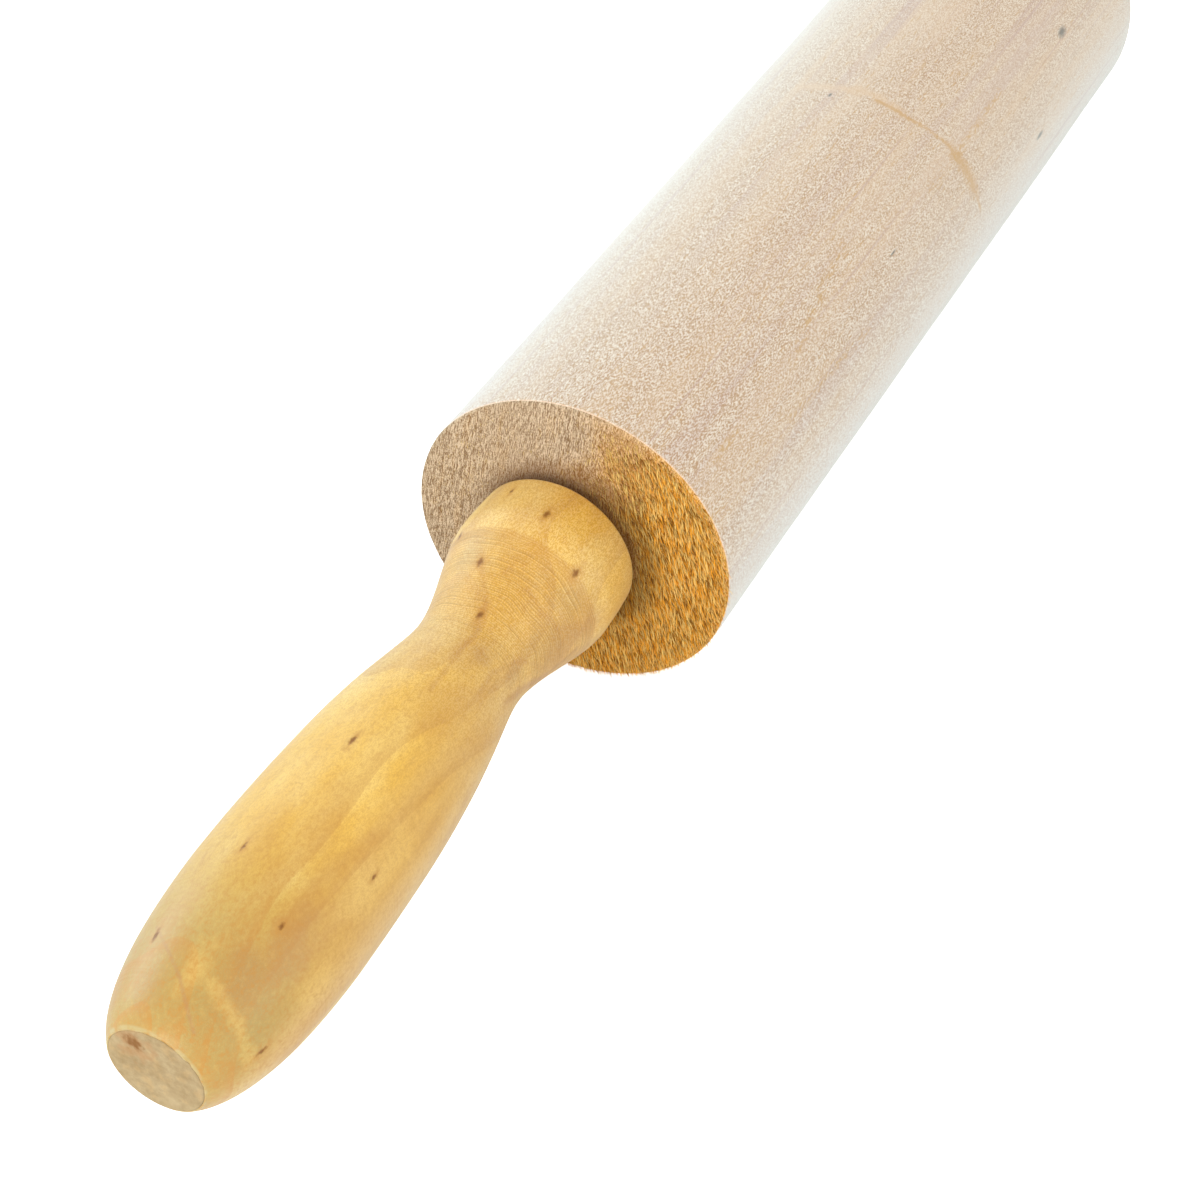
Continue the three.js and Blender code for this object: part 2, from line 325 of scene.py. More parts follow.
class PinColours(bpy.types.PropertyGroup):
    """Colours of the finishes"""

    raw_pale: colour("Raw Pale", (0.76, 0.575, 0.395), "Pale fibres of the barrel")
    raw_warm: colour("Raw Warm", (0.47, 0.25, 0.10), "Darker fibres of the barrel")
    raw_orange: colour("Raw Orange", (0.70, 0.46, 0.25), "Warmer streaks of the raw barrel")
    raw_streak: colour("Raw Streak", (0.50, 0.29, 0.22), "Long bands in the barrel")
    # This pale colour also serves as painted light on the barrel's lower right edge
    raw_sap_and_painted_light: colour("Raw Sapwood", (0.84, 0.80, 0.73), "Pale side of the raw barrel")
    # Partly a paler burr on the barrel's rim, partly a painted highlight along the rounded rim
    rim_pale_and_highlight: colour("Rim", (1.0, 0.72, 0.50), "Clean edge of the barrel's end")
    sawn_grey: colour("Sawn Grey", (0.50, 0.345, 0.222), "Shaded side of the sawn end")
    sawn_gold: colour("Sawn Gold", (1.0, 0.47, 0.04), "Warm side of the sawn end")
    fibre_pale: colour("Pale Fibre", (1.0, 0.74, 0.24), "Pale raised fibres")
    # Colour of dark fibres, also used as painted shade at the fibres' roots, between them and round
    # the collar
    fibre_dark_and_shade: colour("Dark Fibre", (0.20, 0.075, 0.008), "Roots of the raised fibres")
    honey: colour("Honey", (0.93, 0.545, 0.07), "Varnished handle")
    honey_pale: colour("Pale Honey", (0.98, 0.655, 0.17), "Pale figure in the handle")
    honey_dark: colour("Dark Honey", (0.57, 0.255, 0.035), "Dark figure in the handle")
    honey_olive: colour("Olive Honey", (0.44, 0.30, 0.085), "Duller wood near the handle's end")
    honey_brown: colour("Brown Zones", (0.48, 0.25, 0.085), "Browner zones of the handle")
    # Bare wood of the lip, and also a painted highlight where the lip's edge catches the light
    lip_bare_and_highlight: colour("Lip", (0.54, 0.41, 0.17), "Bare wood of the lip round the plug")
    knot: colour("Specks", (0.06, 0.04, 0.015), "Dark specks in the raw barrel")
    fleck: colour("Fleck", (0.24, 0.08, 0.0), "Small brown flecks in the wood")
    scratch: colour("Scratch", (0.58, 0.31, 0.08), "Stained scratch on the barrel")
    plug_wood: colour("Plug", (0.33, 0.23, 0.11), "Raw end grain of the plug")
    plug_pale: colour("Pale Plug", (0.49, 0.375, 0.21), "Pale specks of the plug's end grain")
    plug_stain: colour("Plug Stain", (0.42, 0.22, 0.09), "Stain round the plug's pith")
    plug_pith: colour("Pith", (0.21, 0.085, 0.02), "Dark heart of the plug")
    steel: colour("Steel", (0.52, 0.53, 0.55), "Drawn steel of the axle")
    zinc: colour("Zinc", (0.62, 0.64, 0.64), "Plated washers and nuts")
    nylon: colour("Nylon", (0.80, 0.78, 0.70), "Moulded bushes")


class StudioSettings(bpy.types.PropertyGroup):
    """Camera and light"""

    azimuth: angle("Azimuth", -62.84, "Camera's turn round the pin")
    elevation: angle("Elevation", 42.21, "Camera's height over the horizon")
    place: bpy.props.FloatVectorProperty(
        name="Camera",
        description="Camera's place",
        default=(-0.374, -0.146, 0.2695),
        size=3,
        subtype="TRANSLATION",
    )
    lens: bpy.props.FloatProperty(
        name="Lens",
        description="Focal length in millimetres",
        default=76.47,
        min=1,
        subtype="DISTANCE_CAMERA",
    )
    floor_colour: colour("Floor", (0.8, 0.8, 0.8), "Colour of the studio floor")
    floor_glow: strength(
        "Floor Glow", 0.8, "Light that the floor adds for the camera, to hide its shadows"
    )
    sky: strength("Sky", 0.86, "Light from all round")


def settings(context):
    """The scene's sizes, colours and studio."""
    scene = context.scene
    return scene.rolling_pin_sizes, scene.rolling_pin_colours, scene.rolling_pin_studio


def deselect_all():
    """Leaves nothing selected, so that an operator acts only on the new piece."""
    bpy.ops.object.select_all(action="DESELECT")


def turn_outline(name, outline, sides):
    """Draws (place along the axis, radius) points as a chain and spins it round the pin's axis."""
    deselect_all()
    along, radius = outline[0]
    bpy.ops.mesh.primitive_plane_add(size=MM, location=(along, 0, radius))
    piece = bpy.context.object
    piece.name = piece.data.name = name
    bpy.ops.object.transform_apply(location=True, rotation=True, scale=True)
    bpy.ops.object.mode_set(mode="EDIT")
    bpy.ops.mesh.select_mode(type="VERT")
    bpy.ops.mesh.select_all(action="SELECT")
    bpy.ops.mesh.merge(type="CENTER")
    for next_along, next_radius in outline[1:]:
        shift = (next_along - along, 0, next_radius - radius)
        bpy.ops.mesh.extrude_vertices_move(TRANSFORM_OT_translate={"value": shift})
        along, radius = next_along, next_radius
    bpy.ops.mesh.select_all(action="SELECT")
    bpy.ops.mesh.spin(steps=sides, angle=math.tau, center=ORIGIN, axis=ALONG_PIN)
    bpy.ops.mesh.select_all(action="SELECT")
    bpy.ops.mesh.remove_doubles(threshold=0.001 * MM)
    bpy.ops.mesh.normals_make_consistent(inside=False)
    bpy.context.scene.cursor.location = COUNTING_CORNER
    bpy.ops.mesh.sort_elements(type="CURSOR_DISTANCE", elements={"VERT", "EDGE", "FACE"})
    bpy.ops.object.mode_set(mode="OBJECT")
    bpy.ops.object.shade_smooth_by_angle(angle=SMOOTH_ANGLE)
    return piece


def steps_between(start, end, count):
    """Points after the first on a straight line of an outline."""
    points = []
    for step in range(1, count + 1):
        share = step / count
        points.append(tuple(first + share * (last - first) for first, last in zip(start, end)))
    return points


def curve_between(start, leave, arrive, end, count):
    """Points after the first on a smooth sweep of an outline, steered by two more points."""
    points = []
    for step in range(1, count + 1):
        t = step / count
        weights = ((1 - t) ** 3, 3 * t * (1 - t) ** 2, 3 * t * t * (1 - t), t ** 3)
        pairs = zip(start, leave, arrive, end)
        point = [sum(weight * value for weight, value in zip(weights, pair)) for pair in pairs]
        points.append(tuple(point))
    return points


def level_sweep(start, end, levels, count):
    """Points after the first on a sweep that runs level for a share of its length at each end."""
    run = end[0] - start[0]
    leave = (start[0] + levels[0] * run, start[1])
    arrive = (end[0] - levels[1] * run, end[1])
    return curve_between(start, leave, arrive, end, count)


def round_between(start, corner, end, count):
    """Points after the first on a quarter round that would fill a square corner."""
    points = []
    for step in range(1, count + 1):
        turn = step / count * math.pi / 2
        away, near = 1 - math.sin(turn), 1 - math.cos(turn)
        along = corner[0] + away * (start[0] - corner[0]) + near * (end[0] - corner[0])
        radius = corner[1] + away * (start[1] - corner[1]) + near * (end[1] - corner[1])
        points.append((along, radius))
    return points


def from_axis(place):
    """How far a place lies from the pin's axis."""
    return math.hypot(place.y, place.z)


def choose(piece, kind, wanted):
    """In edit mode, selects the faces or vertices that pass the test, and no others."""
    bpy.ops.mesh.select_mode(type=kind)
    mesh = bmesh.from_edit_mesh(piece.data)
    for part in mesh.faces if kind == "FACE" else mesh.verts:
        part.select = wanted(part)
    mesh.select_flush_mode()
    bmesh.update_edit_mesh(piece.data)


def give_material(piece, material, wanted=None):
    """Adds a material to the piece, on the faces that pass the test or else on all of them."""
    bpy.context.view_layer.objects.active = piece
    piece.data.materials.append(material)
    if wanted is None:
        return
    bpy.ops.object.mode_set(mode="EDIT")
    choose(piece, "FACE", wanted)
    piece.active_material_index = len(piece.data.materials) - 1
    bpy.ops.object.material_slot_assign()
    bpy.ops.object.mode_set(mode="OBJECT")


def lean(piece, wanted, turn, pivot, shift):
    """Turns the chosen vertices about an upright line through the pivot, and then shifts them."""
    bpy.context.view_layer.objects.active = piece
    bpy.ops.object.mode_set(mode="EDIT")
    choose(piece, "VERT", wanted)
    bpy.ops.transform.rotate(value=-turn, orient_axis="Z", center_override=pivot)
    bpy.ops.transform.translate(value=shift)
    bpy.ops.object.mode_set(mode="OBJECT")


def lean_handle(piece, sizes, kept_radius):
    """Sets the handle's outside askew on its axle, like a blank bored a little out of true."""
    pivot = (HANDLE_LOW.x, 0, 0)

    def outside(vertex):
        return from_axis(vertex.co) >= kept_radius

    lean(piece, outside, sizes.handle_lean, pivot, (0, -sizes.handle_offset, 0))


def roughen(piece, name, grain_size, depth, weights=None, direction="NORMAL"):
    """Pushes the surface in and out with a cloudy pattern, all over or by each vertex's weight."""
    texture = bpy.data.textures.new(name, "CLOUDS")
    texture.noise_scale = grain_size
    texture.noise_depth = 2
    bpy.context.view_layer.objects.active = piece
    bpy.ops.object.modifier_add(type="DISPLACE")
    modifier = piece.modifiers[-1]
    modifier.texture = texture
    modifier.texture_coords = "LOCAL"
    modifier.strength = depth
    modifier.direction = direction
    if weights:
        group = piece.vertex_groups.new(name=name)
        for vertex in piece.data.vertices:
            weight = weights(vertex.co)
            if weight > 0:
                group.add([vertex.index], weight, "REPLACE")
        modifier.vertex_group = group.name
    bpy.ops.object.modifier_apply(modifier=modifier.name)
    piece.vertex_groups.clear()


def copy_to_left(right, name):
    """A copy of a piece at the pin's other end."""
    deselect_all()
    right.select_set(True)
    bpy.context.view_layer.objects.active = right
    bpy.ops.object.duplicate()
    left = bpy.context.object
    left.name = left.data.name = name
    bpy.ops.transform.rotate(value=math.pi, orient_axis="Z", center_override=ORIGIN)
    bpy.ops.object.transform_apply(location=True, rotation=True, scale=True)
    return left


def photo_ray(studio, pixel):
    """Where the camera stands, and the way to a pixel of the photograph."""
    across, down = pixel
    reach = studio.lens / SENSOR_WIDTH * PHOTO_SIDE
    turn = Euler((math.pi / 2 - studio.elevation, 0, studio.azimuth))
    direction = Vector((across - PHOTO_SIDE / 2, PHOTO_SIDE / 2 - down, -reach))
    direction.rotate(turn)
    return Vector(studio.place), direction.normalized()


def on_surface(studio, piece, pixel):
    """The point of the piece that shows at a pixel, in millimetres."""
    hit, point, _, _ = piece.ray_cast(*photo_ray(studio, pixel))
    if not hit:
        raise RuntimeError(f"{piece.name} doesn't reach pixel {pixel}")
    return tuple(point / MM)


class Nodes:
    """A node tree that is being drawn. Each call adds what it names and gives its output."""

    def __init__(self, tree, vector=None):
        self.tree = tree
        self.vector = vector

    def fill(self, node, inputs):
        """Links a node's inputs to outputs, or sets them to plain values."""
        for label, value in inputs.items():
            if isinstance(value, bpy.types.NodeSocket):
                self.tree.links.new(value, node.inputs[label])
            else:
                node.inputs[label].default_value = value

    def add(self, kind, inputs=None, **options):
        """A new node with its options and inputs."""
        node = self.tree.nodes.new(kind)
        for option, value in options.items():
            setattr(node, option, value)
        self.fill(node, inputs or {})
        return node

    def group(self, name, **inputs):
        """Outputs of a shared group, which is built when it is first asked for."""
        shared = bpy.data.node_groups.get(name) or SHARED_GROUPS[name](name)
        labelled = {label.replace("_", " "): value for label, value in inputs.items()}
        filled = {"Vector": self.vector, **labelled}
        return self.add("ShaderNodeGroup", filled, node_tree=shared).outputs

    def shader(self, inputs):
        """Fills the inputs of the material's own shader."""
        self.fill(next(node for node in self.tree.nodes if node.type == "BSDF_PRINCIPLED"), inputs)

    def math(self, operation, *values):
        """A sum on one to three numbers."""
        return self.add("ShaderNodeMath", dict(enumerate(values)), operation=operation).outputs[0]

    def times(self, value, by):
        """A number times another."""
        return self.math("MULTIPLY", value, by)

    def minus(self, value, less):
        """A number less another."""
        return self.math("SUBTRACT", value, less)

    def scaled(self, value, by, plus):
        """A number times another, plus a third."""
        return self.math("MULTIPLY_ADD", value, by, plus)

    def strongest(self, masks):
        """The largest of several masks."""
        result = masks[0]
        for mask in masks[1:]:
            result = self.math("MAXIMUM", result, mask)
        return result

    def vectors(self, operation, *values):
        """A sum on vectors. Its length, distance or dot product comes out as a number."""
        node = self.add("ShaderNodeVectorMath", dict(enumerate(values)), operation=operation)
        gives_number = operation in {"LENGTH", "DISTANCE", "DOT_PRODUCT"}
        return node.outputs["Value" if gives_number else "Vector"]

    def towards(self, direction):
        """How far the place lies in a direction."""
        return self.vectors("DOT_PRODUCT", self.vector, direction)

    def ring(self):
        """How far the place lies from the pin's axis."""
        return self.vectors("LENGTH", self.vectors("MULTIPLY", self.vector, ACROSS_PIN))

    def axes(self, vector):
        """The three numbers of a vector."""
        return self.add("ShaderNodeSeparateXYZ", {"Vector": vector}).outputs

    def size(self, long, wide):
        """A vector as long as the first number along the pin and as wide as the second across."""
        return self.add("ShaderNodeCombineXYZ", {"X": long, "Y": wide, "Z": wide}).outputs[0]

    def ramp(self, value, none, full):
        """A mask that is 0 up to one value and 1 from another on, and smooth in between."""
        rising = none <= full
        limits = {
            "Value": value,
            "From Min": none if rising else full,
            "From Max": full if rising else none,
            "To Min": 0.0 if rising else 1.0,
            "To Max": 1.0 if rising else 0.0,
        }
        node = self.add("ShaderNodeMapRange", limits, interpolation_type="SMOOTHSTEP")
        return node.outputs["Result"]

    def noise(self, scale=1.0, detail=2.0, roughness=0.5, stretch=None, vector=None):
        """Cloudy noise from 0 to 1, drawn out along the axes by a stretch."""
        vector = vector or self.vector
        if stretch:
            vector = self.vectors("DIVIDE", vector, stretch)
        inputs = {"Vector": vector, "Scale": scale, "Detail": detail, "Roughness": roughness}
        return self.add("ShaderNodeTexNoise", inputs).outputs[0]


def new_group(name, inputs, outputs):
    """An empty shader group that takes a vector and more, with its inputs and its output node."""
    tree = bpy.data.node_groups.new(name, "ShaderNodeTree")
    for label, default in {"Vector": ORIGIN, **inputs}.items():
        kind = "NodeSocketVector" if isinstance(default, tuple) else "NodeSocketFloat"
        socket = tree.interface.new_socket(name=label, in_out="INPUT", socket_type=kind)
        socket.default_value = default
    for label in outputs:
        tree.interface.new_socket(name=label, in_out="OUTPUT", socket_type="NodeSocketFloat")
    given = tree.nodes.new("NodeGroupInput").outputs
    result = tree.nodes.new("NodeGroupOutput")
    return Nodes(tree, given["Vector"]), given, result


def fibre_group(name):
    """Short fibres and pores that run along the pin."""
    nodes, given, result = new_group(name, {"Width": 0.3, "Length": 1.5}, ["Fibres", "Pores"])
    placed = nodes.vectors("DIVIDE", nodes.vector, nodes.size(given["Length"], given["Width"]))
    fine = nodes.noise(detail=1.0, vector=placed)
    cells = nodes.add("ShaderNodeTexVoronoi", {"Vector": placed, "Scale": 0.45}).outputs["Distance"]
    pores = nodes.ramp(cells, none=0.28, full=0.08)
    nodes.fill(result, {"Fibres": nodes.ramp(fine, none=0.4, full=0.6), "Pores": pores})
    return nodes.tree


def ring_group(name):
    """Growth rings round a pith along the pin, with a soft pale side and a thin dark line."""
    inputs = {"Pith": ORIGIN, "Spacing": 1.5, "Wander": 1.0}
    nodes, given, result = new_group(name, inputs, ["Tone", "Line"])
    drift = nodes.noise(detail=1.0, stretch=(45.0, 14.0, 14.0))
    nodes.vector = nodes.vectors("SUBTRACT", nodes.vector, given["Pith"])
    shifted = nodes.scaled(drift, by=given["Wander"], plus=nodes.ring())
    share = nodes.math("FRACT", nodes.math("DIVIDE", shifted, given["Spacing"]))
    near_edge = nodes.ramp(share, none=0.72, full=0.97)
    after_edge = nodes.ramp(share, none=1.0, full=0.975)
    tone = nodes.ramp(share, none=0.1, full=0.95)
    nodes.fill(result, {"Tone": tone, "Line": nodes.times(near_edge, after_edge)})
    return nodes.tree


def turning_group(name):
    """Fine lines round the pin, left by the turning tool and by sanding."""
    nodes, given, result = new_group(name, {"Pitch": 0.8}, ["Ridges", "Scratches"])
    waver = nodes.noise(scale=0.12, detail=1.0)
    along = nodes.scaled(waver, by=2.5, plus=nodes.axes(nodes.vector)["X"])
    turns = nodes.math("DIVIDE", along, given["Pitch"])
    wave = nodes.math("SINE", nodes.times(turns, math.tau))
    lined = {"W": turns, "Scale": 1.0, "Detail": 3.0, "Roughness": 0.75}
    lines = nodes.add("ShaderNodeTexNoise", lined, noise_dimensions="1D").outputs[0]
    bright = nodes.ramp(lines, none=0.36, full=0.66)
    breaks = nodes.ramp(nodes.noise(roughness=0.6, stretch=(3.0, 9.0, 9.0)), none=0.3, full=0.6)
    ridges = nodes.scaled(wave, by=0.5, plus=0.5)
    nodes.fill(result, {"Ridges": ridges, "Scratches": nodes.times(bright, breaks)})
    return nodes.tree


def ragged_edge(nodes, given, distance, wander):
    """A distance that wanders, so that the edge of a mark comes out ragged."""
    return nodes.scaled(nodes.minus(wander, less=0.5), by=given["Ragged"], plus=distance)


def mark_group(name):
    """One soft-edged mark round a place on the surface, longer along the pin than across."""
    inputs = {"Place": ORIGIN, "Length": 2.0, "Width": 0.8, "Ragged": 0.5, "Rag Size": 0.6}
    nodes, given, result = new_group(name, inputs, ["Mark"])
    half = nodes.size(nodes.times(given["Length"], by=0.5), nodes.times(given["Width"], by=0.5))
    away = nodes.vectors("SUBTRACT", nodes.vector, given["Place"])
    distance = nodes.vectors("LENGTH", nodes.vectors("DIVIDE", away, half))
    wander = nodes.noise(scale=nodes.math("DIVIDE", 1.0, given["Rag Size"]))
    edge = ragged_edge(nodes, given, distance, wander)
    nodes.fill(result, {"Mark": nodes.ramp(edge, none=1.25, full=0.2)})
    return nodes.tree


def stroke_group(name):
    """One straight piece of a scratch or streak, between two places on the surface."""
    inputs = {"From": ORIGIN, "To": ALONG_PIN, "Width": 0.6, "Ragged": 0.5, "Rag Size": 1.2}
    nodes, given, result = new_group(name, inputs, ["Mark"])
    run = nodes.vectors("SUBTRACT", given["To"], given["From"])
    away = nodes.vectors("SUBTRACT", nodes.vector, given["From"])
    run_squared = nodes.vectors("DOT_PRODUCT", run, run)
    reach = nodes.math("DIVIDE", nodes.vectors("DOT_PRODUCT", away, run), run_squared)
    held = nodes.math("MINIMUM", nodes.math("MAXIMUM", reach, 0.0), 1.0)
    part = {0: run, "Scale": held}
    nearest = nodes.add("ShaderNodeVectorMath", part, operation="SCALE").outputs[0]
    widths = nodes.math("DIVIDE", nodes.vectors("DISTANCE", away, nearest), given["Width"])
    rag_scale = nodes.math("DIVIDE", 1.0, given["Rag Size"])
    wander = nodes.noise(scale=rag_scale, detail=3.0, roughness=0.7)
    edge = ragged_edge(nodes, given, widths, wander)
    nodes.fill(result, {"Mark": nodes.ramp(edge, none=1.1, full=0.0)})
    return nodes.tree


SHARED_GROUPS = {
    "Wood fibres": fibre_group,
    "Growth rings": ring_group,
    "Turning marks": turning_group,
    "Mark": mark_group,
    "Stroke": stroke_group,
}


class Paint(Nodes):
    """A material that is painted layer over layer, in its piece's own millimetres."""

    def __init__(self, name, roughness, specular=0.5, piece=None, turn=ORIGIN):
        self.material = bpy.data.materials.new(name)
        self.material.use_nodes = True
        super().__init__(self.material.node_tree)
        self.sizes, self.colours, self.studio = settings(bpy.context)
        self.piece = piece
        self.colour = None
        self.shader({"Roughness": roughness, "Specular IOR Level": specular})
        place = self.add("ShaderNodeTexCoord").outputs["Object"]
        in_mm = {"Vector": place, "Rotation": turn, "Scale": PER_MM}
        self.vector = self.add("ShaderNodeMapping", in_mm).outputs["Vector"]

    def mixed(self, factor, first, second, blend="MIX"):
        """A blend of two colours, each given by its name, as numbers or as a node's output."""
        node = self.add("ShaderNodeMix", {"Factor": factor}, data_type="RGBA", blend_type=blend)
        sockets = [socket for socket in node.inputs if socket.type == "RGBA"]
        for socket, shade in zip(sockets, (first, second)):
            if isinstance(shade, bpy.types.NodeSocket):
                self.tree.links.new(shade, socket)
            else:
                numbers = getattr(self.colours, shade) if isinstance(shade, str) else shade
                socket.default_value = (*numbers, 1.0)
        return next(socket for socket in node.outputs if socket.type == "RGBA")

    def base(self, factor, first, second):
        """Starts with a blend of two colours."""
        self.colour = self.mixed(factor, first, second)

    def tint(self, shade, mask, share, none=None, full=None):
        """Draws the colour towards another by a share, where a mask or a ramp on it shows."""
        if none is not None:
            mask = self.ramp(mask, none, full)
        self.colour = self.mixed(self.times(mask, share), self.colour, shade)

    def marks(self, places, long, wide, ragged, rag_size):
        """One mask for several marks by pixel, length and width, enlarged along and across."""
        masks = []
        for across, down, mark_length, mark_width in places:
            centre = on_surface(self.studio, self.piece, (across, down))
            size = {"Length": long * mark_length, "Width": wide * mark_width}
            spot = self.group("Mark", Place=centre, Ragged=ragged, Rag_Size=rag_size, **size)
            masks.append(spot["Mark"])
        return self.strongest(masks)

    def strokes(self, ways, width, ragged, rag_size):
        """One mask for strokes that each pass through several pixels."""
        masks = []
        for pixels in ways:
            points = [on_surface(self.studio, self.piece, pixel) for pixel in pixels]
            parts = []
            for start, end in zip(points, points[1:]):
                ends = {"From": start, "To": end}
                stroke = self.group("Stroke", Width=width, Ragged=ragged, Rag_Size=rag_size, **ends)
                parts.append(stroke["Mark"])
            masks.append(self.strongest(parts))
        return self.strongest(masks)

    def finish(self, height, depth, inputs=None):
        """The material with its colour, a relief that deep in mm and more inputs of its shader."""
        relief = {"Strength": 1.0, "Distance": depth * MM, "Height": height}
        normal = self.add("ShaderNodeBump", relief).outputs["Normal"]
        self.shader({"Base Color": self.colour, "Normal": normal, **(inputs or {})})
        return self.material


def raw_wood_material(piece):
    """Sanded, unfinished wood of the barrel's side."""
    wood = Paint("Raw barrel wood", roughness=0.8, specular=0.2, piece=piece)
    axes = wood.axes(wood.vector)
    fine = wood.group("Wood fibres", Width=0.14, Length=0.5)
    coarse = wood.group("Wood fibres", Width=0.36, Length=2.4)
    bands = wood.noise(detail=4.0, roughness=0.65, stretch=(170.0, 3.2, 3.2))
    wood.base(fine["Fibres"], "raw_warm", "raw_pale")
    wood.tint("raw_pale", coarse["Fibres"], share=0.22)
    wood.tint("raw_streak", bands, share=0.65, none=0.48, full=0.66)
    warm = wood.noise(detail=3.0, roughness=0.6, stretch=(60.0, 5.0, 5.0))
    wood.tint("raw_orange", warm, share=0.65, none=0.45, full=0.62)
    wide = wood.noise(stretch=(120.0, 12.0, 12.0))
    wood.tint("raw_pale", wide, share=0.35, none=0.42, full=0.7)
    # Painted light: towards its lower right edge the barrel is painted paler, as if lit there
    barrel_lit_edge = wood.scaled(bands, by=10.0, plus=wood.towards(PAINTED_LIGHT_SIDE))
    wood.tint("raw_sap_and_painted_light", barrel_lit_edge, share=0.45, none=21.0, full=32.0)
    near_end = wood.ramp(axes["X"], none=50.0, full=-70.0)
    speckle = wood.scaled(near_end, by=0.24, plus=0.26)
    wood.tint("raw_warm", fine["Fibres"], share=speckle, none=0.6, full=0.2)
    wood.tint("raw_sap_and_painted_light", fine["Fibres"], share=speckle, none=0.5, full=0.9)
    hairs = wood.noise(stretch=(150.0, 1.1, 1.1))
    wood.tint("raw_streak", hairs, share=0.45, none=0.6, full=0.7)
    pore_lines = wood.times(coarse["Pores"], wood.ramp(bands, none=0.6, full=0.44))
    wood.tint("scratch", pore_lines, share=0.6)
    tooled_side = wood.ramp(axes["Y"], none=12.0, full=23.0)
    tooled = wood.times(tooled_side, wood.ramp(axes["X"], none=-25.0, full=-70.0))
    ridges = wood.times(wood.group("Turning marks", Pitch=0.85)["Ridges"], tooled)
    wood.tint("raw_streak", ridges, share=0.35)
    rim = BARREL_HIGH.x / MM
    to_rim = wood.towards((-1.0, -math.tan(wood.sizes.face_lean), 0.0))
    # Paler rim: partly burr, partly a painted highlight along the rounded edge
    wood.tint("rim_pale_and_highlight", to_rim, share=0.7, none=rim - 1.1, full=rim - 0.6)
    rows = wood.strokes(BARREL_PORE_ROWS, width=1.3, ragged=1.6, rag_size=1.0)
    gaps = wood.noise(detail=1.0, stretch=(1.6, 0.3, 0.3))
    dashes = wood.times(rows, wood.ramp(gaps, none=0.48, full=0.58))
    wood.tint("scratch", dashes, share=0.7)
    graze = wood.strokes(BARREL_GRAZE, width=2.2, ragged=1.8, rag_size=1.6)
    wood.tint("raw_orange", graze, share=0.6)
    scratch = wood.strokes(BARREL_SCRATCH, width=0.9, ragged=1.8, rag_size=0.8)
    gouge = wood.strokes(BARREL_GOUGE, width=2.6, ragged=2.0, rag_size=0.9)
    scratch = wood.strongest([scratch, gouge])
    wood.tint("scratch", scratch, share=0.8)
    specks = wood.marks(BARREL_SPECKS, long=1.8, wide=1.8, ragged=0.6, rag_size=0.6)
    wood.tint("knot", specks, share=0.85)
    relief = wood.scaled(ridges, by=0.8, plus=wood.times(fine["Fibres"], by=0.15))
    pits = wood.strongest([pore_lines, dashes])
    relief = wood.minus(wood.minus(relief, wood.times(pits, by=0.6)), scratch)
    sheen = {"Sheen Weight": 1.0, "Sheen Roughness": 0.5, "Sheen Tint": RAW_SHEEN}
    return wood.finish(relief, depth=0.04, inputs=sheen)


def torn_share(nodes):
    """0 where the saw left the end smooth and grey, 1 where it tore the wood up golden."""
    side = nodes.minus(nodes.towards(TORN_SIDE), less=7.0)
    shifted = nodes.scaled(nodes.noise(scale=0.12), by=14.0, plus=side)
    return nodes.ramp(shifted, none=-11.0, full=9.0)


def shade_near_collar(wood):
    """Darkens the sawn end round the handle's collar: painted shade in the crevice between collar
    and end.
    """
    wood.tint("fibre_dark_and_shade", wood.ring(), share=0.5, none=18.0, full=13.5)


def sawn_end_material():
    """Rough sawn end grain under the raised fibres, grey on one side and golden on the other."""
    wood = Paint("Sawn end grain", roughness=0.9, specular=0.15)
    gold = torn_share(wood)
    slant = {"Vector": wood.vector, "Rotation": SAW_SLANT}
    sawn = wood.add("ShaderNodeMapping", slant).outputs["Vector"]
    strokes = wood.noise(roughness=0.6, stretch=(1.0, 0.13, 1.5), vector=sawn)
    specks = wood.noise(detail=1.0, stretch=(1.0, 0.15, 0.3), vector=sawn)
    pink = wood.noise(detail=3.0, roughness=0.6, stretch=(9.0, 1.3, 9.0), vector=sawn)
    wood.base(gold, "sawn_grey", "sawn_gold")
    wood.tint("scratch", pink, share=0.28, none=0.48, full=0.66)
    pattern = wood.scaled(specks, by=0.4, plus=wood.times(strokes, by=0.6))
    dark = wood.mixed(FULLY, wood.colour, SAWN_SHADE, blend="MULTIPLY")
    pale = wood.mixed(SAWN_SHINE_SHARE, wood.colour, SAWN_SHINE)
    wood.base(wood.ramp(pattern, none=0.42, full=0.58), dark, pale)
    # Painted shade in the gaps between the raised fibres, where the grain is torn
    wood.tint("fibre_dark_and_shade", gold, share=0.12)
    shade_near_collar(wood)
    return wood.finish(pattern, depth=0.2)


def raised_fibre_material():
    """Fibres torn up by the saw, pale at the tip and painted dark at the root as shade between
    them, each a little different.
    """
    wood = Paint("Raised fibres", roughness=0.8, specular=0.25)
    tip = wood.add("ShaderNodeAttribute", attribute_name="tip").outputs["Fac"]
    shade = wood.add("ShaderNodeAttribute", attribute_name="shade").outputs["Fac"]
    wood.base(torn_share(wood), "sawn_grey", "sawn_gold")
    wood.tint("fibre_dark_and_shade", shade, share=0.85, none=0.3, full=0.14)
    wood.tint("fibre_pale", shade, share=0.9, none=0.52, full=0.64)
    # Painted shade at the root of each fibre
    root = wood.mixed(ROOT_SHADE_SHARE, "fibre_dark_and_shade", wood.colour)
    wood.base(wood.ramp(tip, none=0.0, full=0.6), root, wood.colour)
    shade_near_collar(wood)
    return wood.finish(wood.noise(scale=4.0, roughness=0.6), depth=0.05)


